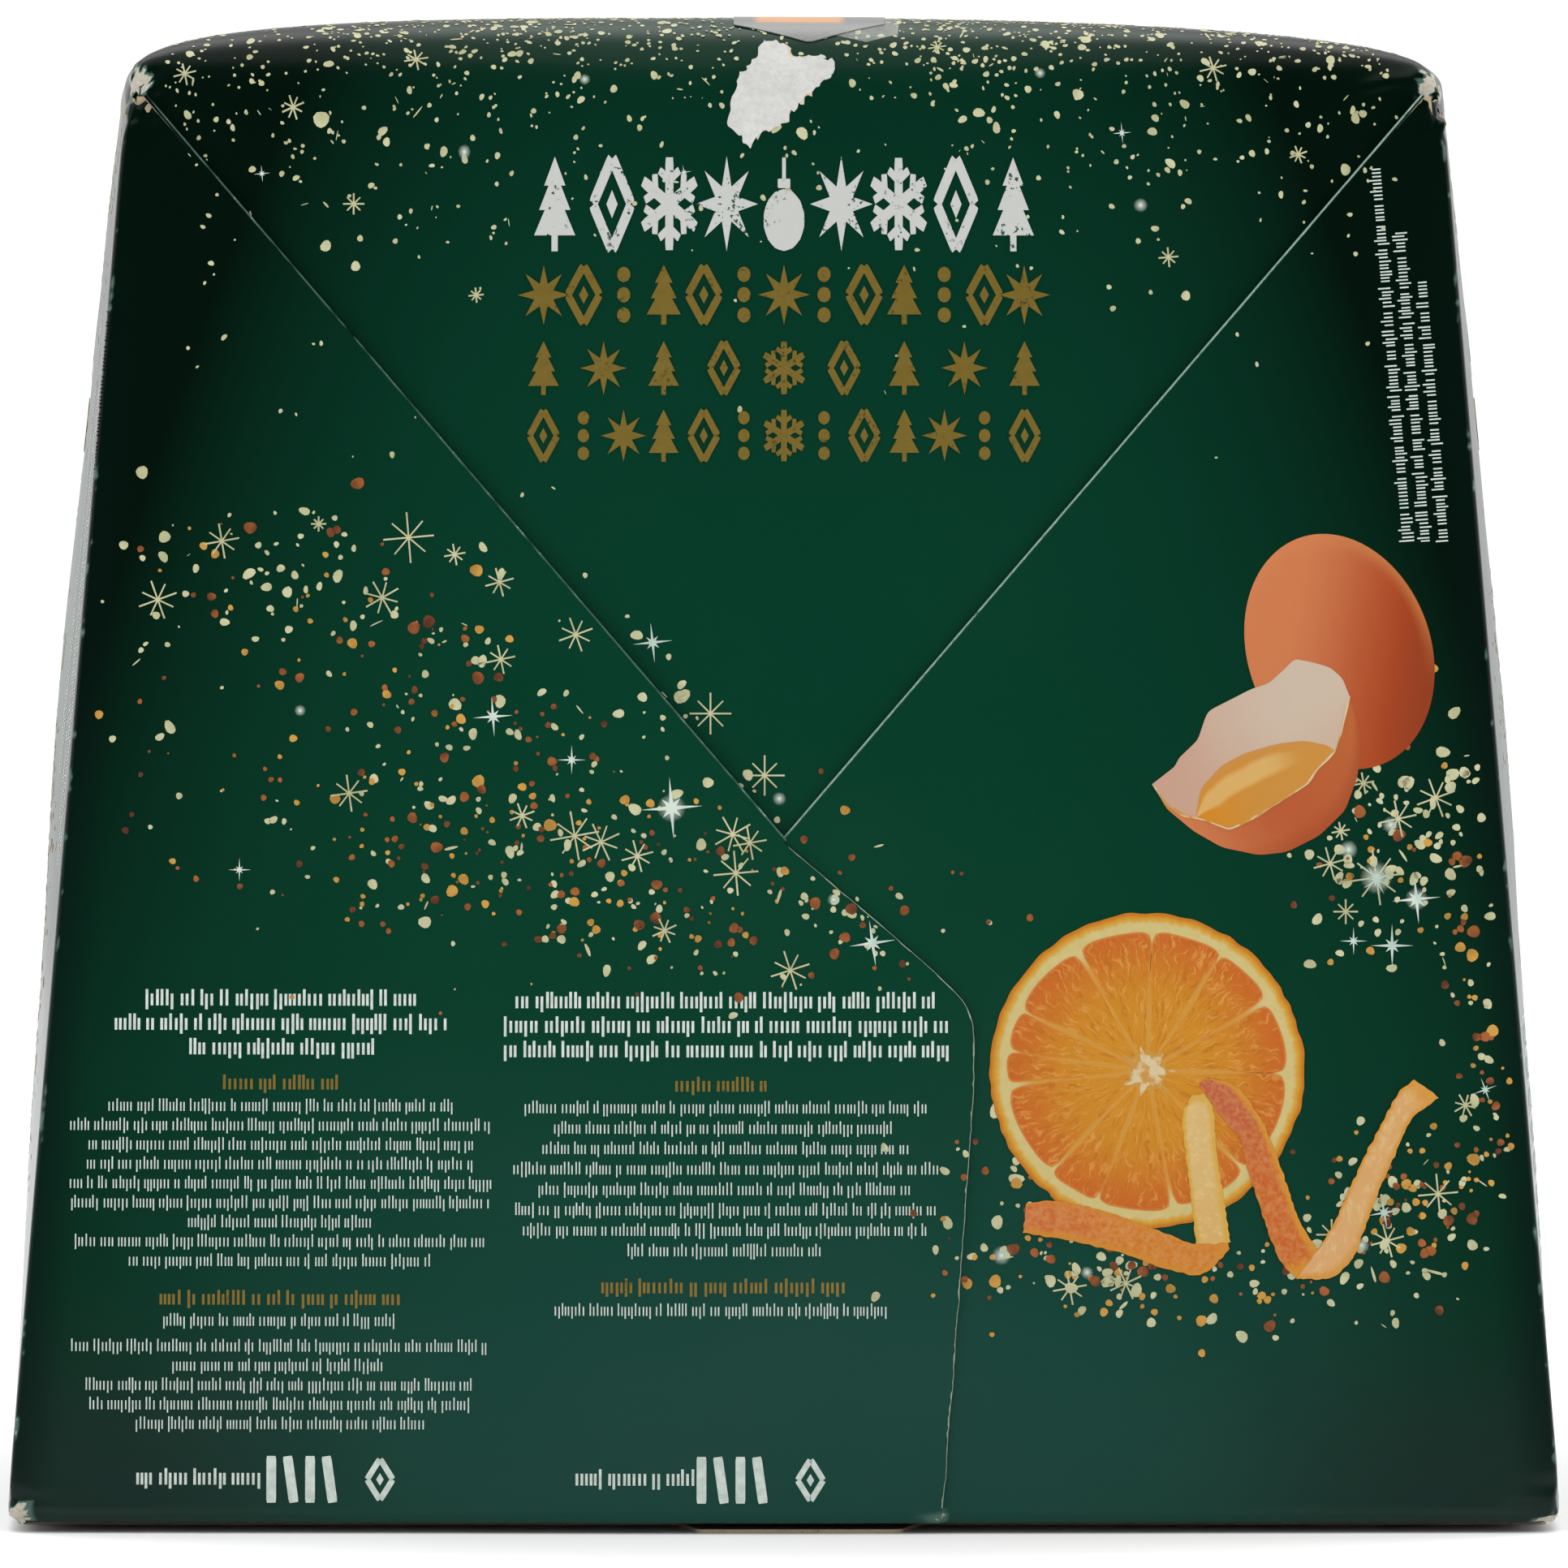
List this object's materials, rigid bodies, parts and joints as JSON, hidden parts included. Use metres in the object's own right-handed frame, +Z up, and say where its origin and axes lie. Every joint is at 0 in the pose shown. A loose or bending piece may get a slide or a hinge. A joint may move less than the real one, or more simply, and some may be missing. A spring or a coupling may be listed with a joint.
{
  "type": "panettone carton",
  "caption": "Closed tapered folding carton with V-folded front and rear faces and a pillowed top, holding a bagged panettone in its paper mould.",
  "frame": {"origin": "middle of the footprint, on the floor under the outer bottom flap", "axes": "+Z up, -Y out of the front face, where the left flap laps over the right one, +X to that face's right"},
  "size_m": [0.2048, 0.2034, 0.197],
  "materials": {
    "printed_board": "satin",
    "raw_board": "matte",
    "label_paper": "satin",
    "printed_ink": "satin",
    "printed_foil": "satin",
    "clear_tape": "gloss",
    "baked_crust": "matte",
    "mould_paper": "matte",
    "bag_film": "gloss",
    "tie_band": "satin"
  },
  "bodies": {
    "root": {"side_panel_left": "printed_board", "side_panel_right": "printed_board", "top_panel": "printed_board", "front_leaf": "printed_board", "front_left_flap": "printed_board", "front_right_flap": "printed_board", "front_left_web": "raw_board", "front_right_web": "raw_board", "rear_leaf": "printed_board", "rear_left_flap": "printed_board", "rear_right_flap": "printed_board", "rear_left_web": "raw_board", "rear_right_web": "raw_board", "bottom_flap_right": "printed_board", "bottom_flap_left": "printed_board", "bottom_flap_inner": "printed_board", "bottom_flap_outer": "printed_board", "seal_label": "label_paper", "panettone": "baked_crust", "paper_mould": "mould_paper", "inner_bag": "bag_film", "bag_tie": "tie_band"}
  },
  "joints": []
}
